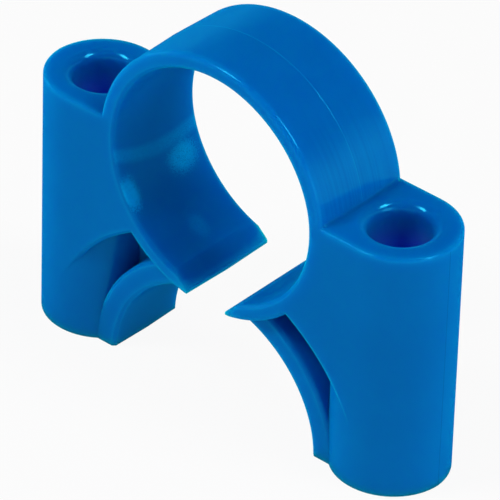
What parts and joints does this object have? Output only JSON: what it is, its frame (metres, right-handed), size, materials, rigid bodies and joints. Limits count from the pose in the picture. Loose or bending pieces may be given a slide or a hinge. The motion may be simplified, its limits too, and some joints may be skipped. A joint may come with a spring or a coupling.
{
  "type": "conduit bracket",
  "caption": "One-piece moulded bracket: an open ring clips round a conduit and two screw towers beside it fix it to a wall over a hollow arch.",
  "frame": {"origin": "on the wall face, midway between the two screw towers and midway through the depth", "axes": "+X from tower to tower, +Y along the conduit, +Z away from the wall"},
  "size_m": [0.0504, 0.012, 0.0404],
  "materials": {
    "blue_plastic": "glossy, slightly translucent moulded blue plastic"
  },
  "bodies": {
    "root": {"conduit_bracket": "blue_plastic"}
  },
  "joints": []
}
